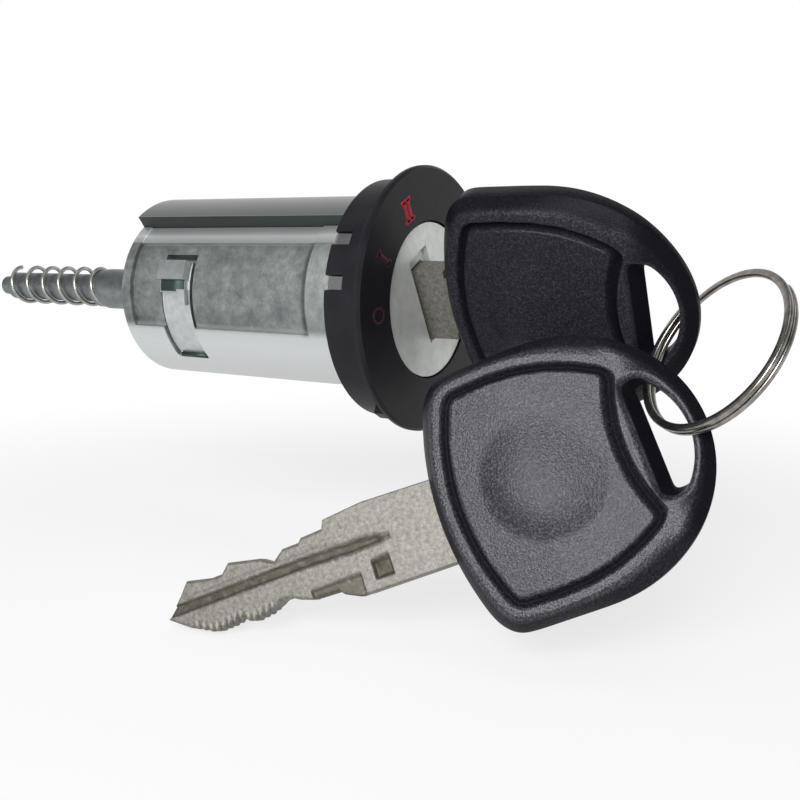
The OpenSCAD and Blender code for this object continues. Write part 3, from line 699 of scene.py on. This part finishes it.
# The wire has the part's five turns and 0.6 turn more, round the foot of the tail's shoulder
SPRING_R, SPRING_WIRE, SPRING_Z = 2.525, 0.55, 0.22
PART_TURNS, MORE_TURNS = 5, 0.6
lo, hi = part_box("tail_spring")
spring_high = hi[0] / MM - SPRING_WIRE / 2
spring_low = lo[0] / MM + SPRING_WIRE / 2
spring_pitch = (spring_high - spring_low) / PART_TURNS
points, quads, caps = wound_wire(SPRING_R, spring_pitch, PART_TURNS + MORE_TURNS,
                                 wire_section(SPRING_WIRE, SPRING_WIRE, 2, 12))
points = points @ turn_xyz((0, 0, -360 * MORE_TURNS)).T
spring_place = (spring_high + MORE_TURNS * spring_pitch, 0, SPRING_Z)
make_piece("tail_spring_wire", placed(points, spring_place, (0, -90, 0)), quads, "plug", "spring_steel",
           TAIL_SPRING, "tail_spring", caps)


# Position marks on the bezel face

FACE_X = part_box("bezel_ring")[1][0] / MM
MARK_LOW, MARK_HIGH = 10.0, 12.3
BAR_W, SERIF_W, ZERO_W = 0.66, 0.5, 0.36


def stroke(path, width):
    """Flat raised stroke along a path in the face's plane: a low rounded profile carried along it."""
    along = np.gradient(path, axis=0)
    along /= np.hypot(*along.T)[:, None] + 1e-9
    side = np.c_[-along[:, 1], along[:, 0]]
    profile = np.array([[-0.5, -0.03], [-0.42, 0.03], [0.42, 0.03], [0.5, -0.03]])
    points = path[:, None, :] + side[:, None, :] * profile[None, :, :1] * width
    lift = np.broadcast_to(profile[None, :, 1], points.shape[:2])
    return tube(np.concatenate([lift[..., None], points], -1))


def mark(name, clock, strokes, finish):
    """Strokes of one dial mark, drawn upright at the top and then turned to a clock angle."""
    parts, quads, caps, base = [], [], [], 0
    for path, width in strokes:
        p, q, c = stroke(path, width)
        parts.append(p)
        quads.append(q + base)
        caps += [k + base for k in c]
        base += len(p)
    points = placed(np.vstack(parts) + [FACE_X, 0, 0], (0, 0, 0), (clock, 0, 0))
    make_piece(name, points, np.vstack(quads), "housing", "bezel_plastic", finish, caps=caps)


def upright(y):
    """Upright stroke from the inner to the outer end of a mark."""
    return np.c_[np.full(6, y), np.linspace(MARK_LOW, MARK_HIGH, 6)], BAR_W


def serif(z, half):
    """Level stroke across the end of a mark."""
    return np.c_[np.linspace(-half, half, 6), np.full(6, z)], SERIF_W


def oval(half_wide, half_high):
    """Closed oval stroke in the middle of a mark."""
    a = np.linspace(0, 2 * np.pi, 33)
    return np.c_[half_wide * np.sin(a), (MARK_LOW + MARK_HIGH) / 2 + half_high * np.cos(a)], ZERO_W


mark("mark_0", 95.4, [oval(0.75, 1.0)], WORN_RED)
mark("mark_I", 64.6, [upright(0), serif(MARK_LOW, 0.5), serif(MARK_HIGH, 0.5)], WORN_RED)
mark("mark_II", 27.8, [upright(-0.42), upright(0.42), serif(MARK_LOW, 1.05), serif(MARK_HIGH, 1.05)], RED)


# Stage: floor, light and camera

def pale_floor():
    """Floor under the lowest point.

    It shows white to the camera and to reflections, and keeps a soft shadow close to the object that
    fades out with the distance from the middle.
    """
    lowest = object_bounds()[0][2]
    half = 4.0
    corners = [(-half, -half, lowest), (half, -half, lowest), (half, half, lowest), (-half, half, lowest)]
    mesh = bpy.data.meshes.new("floor")
    mesh.from_pydata(corners, [], [(0, 1, 2, 3)])
    floor = bpy.data.objects.new("floor", mesh)
    bpy.context.collection.objects.link(floor)
    f = Finish("pale_floor", roughness=0.9)
    f.shader.inputs["Base Color"].default_value = (0.82, 0.82, 0.82, 1)
    x, y, z = f.axes()
    reach = f.calc("SQRT", f.calc("ADD", f.calc("MULTIPLY", x, x), f.calc("MULTIPLY", y, y)))
    path = f.node("ShaderNodeLightPath").outputs
    seen = f.calc("MAXIMUM", path["Is Camera Ray"], path["Is Glossy Ray"])
    seen = f.calc("MAXIMUM", seen, path["Is Transmission Ray"])
    share = f.calc("MULTIPLY", seen, f.span(f.step(reach, 0.05, 0.16), 0.72, 1.0))
    glow = f.node("ShaderNodeEmission")
    glow.inputs["Strength"].default_value = 1.0
    both = f.node("ShaderNodeMixShader")
    f.link(share, both.inputs[0])
    f.link(f.shader.outputs[0], both.inputs[1])
    f.link(glow.outputs[0], both.inputs[2])
    f.link(both.outputs[0], f.tree.nodes["Material Output"].inputs["Surface"])
    mesh.materials.append(f.material)
    floor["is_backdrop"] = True


def pale_world():
    """World that is white to the camera, and white with a darker room above the viewer to reflections."""
    world = bpy.data.worlds.new("pale_world")
    bpy.context.scene.world = world
    world.use_nodes = True
    tree = world.node_tree
    back = tree.nodes["Background"]
    back.inputs["Color"].default_value = (1, 1, 1, 1)
    path = tree.nodes.new("ShaderNodeLightPath").outputs
    aim = tree.nodes.new("ShaderNodeVectorMath")
    aim.operation = "DOT_PRODUCT"
    aim.inputs[1].default_value = (0.20, -0.50, 0.84)
    tree.links.new(tree.nodes.new("ShaderNodeTexCoord").outputs["Generated"], aim.inputs[0])
    room = tree.nodes.new("ShaderNodeMapRange")
    room.interpolation_type = "SMOOTHSTEP"
    for key, value in (("From Min", -0.15), ("From Max", 0.6), ("To Min", 1.0), ("To Max", 0.22)):
        room.inputs[key].default_value = value
    tree.links.new(aim.outputs["Value"], room.inputs["Value"])
    clear = calculated(tree, "MAXIMUM", path["Is Camera Ray"], path["Is Transmission Ray"])
    level = calculated(tree, "MAXIMUM", path["Is Glossy Ray"], 0.55)
    other = calculated(tree, "MULTIPLY", level, room.outputs["Result"])
    tree.links.new(calculated(tree, "MAXIMUM", clear, other), back.inputs["Strength"])


def soft_lamp(name, place, target, size, power):
    """Square lamp of a size and power, at a place and aimed at a target."""
    data = bpy.data.lights.new(name, "AREA")
    data.size = size
    data.energy = power
    lamp = bpy.data.objects.new(name, data)
    lamp.location = place
    lamp.rotation_mode = "QUATERNION"
    lamp.rotation_quaternion = (Vector(target) - Vector(place)).to_track_quat("-Z", "Y")
    bpy.context.collection.objects.link(lamp)


PHOTO_WIDTH, PHOTO_FOCUS = 800.0, 994.4
PHOTO_PLACE, PHOTO_AZIMUTH, PHOTO_RISE = (61.36, -98.87, 6.73), 31.36, 9.13


def photo_camera():
    """Camera at the photograph's place, with its width and focal length in the photo's pixels."""
    data = bpy.data.cameras.new("photo_camera")
    data.sensor_width = 36.0
    data.lens = data.sensor_width * PHOTO_FOCUS / PHOTO_WIDTH
    data.clip_start, data.clip_end = 0.005, 20
    camera = bpy.data.objects.new("photo_camera", data)
    az, el = math.radians(PHOTO_AZIMUTH), math.radians(PHOTO_RISE)
    back = Vector((math.sin(az) * math.cos(el), -math.cos(az) * math.cos(el), math.sin(el)))
    camera.location = Vector(PHOTO_PLACE) * MM
    camera.rotation_mode = "QUATERNION"
    camera.rotation_quaternion = (-back).to_track_quat("-Z", "Y")
    bpy.context.collection.objects.link(camera)
    bpy.context.scene.camera = camera


pale_floor()
pale_world()
soft_lamp("top_lamp", (0.05, -0.04, 0.45), (0.0, -0.01, 0.0), 0.30, 0.35)
soft_lamp("front_lamp", (0.075, -0.32, 0.135), (0.02, -0.01, -0.01), 0.20, 1.8)
photo_camera()
bpy.context.scene.view_settings.view_transform = "Standard"
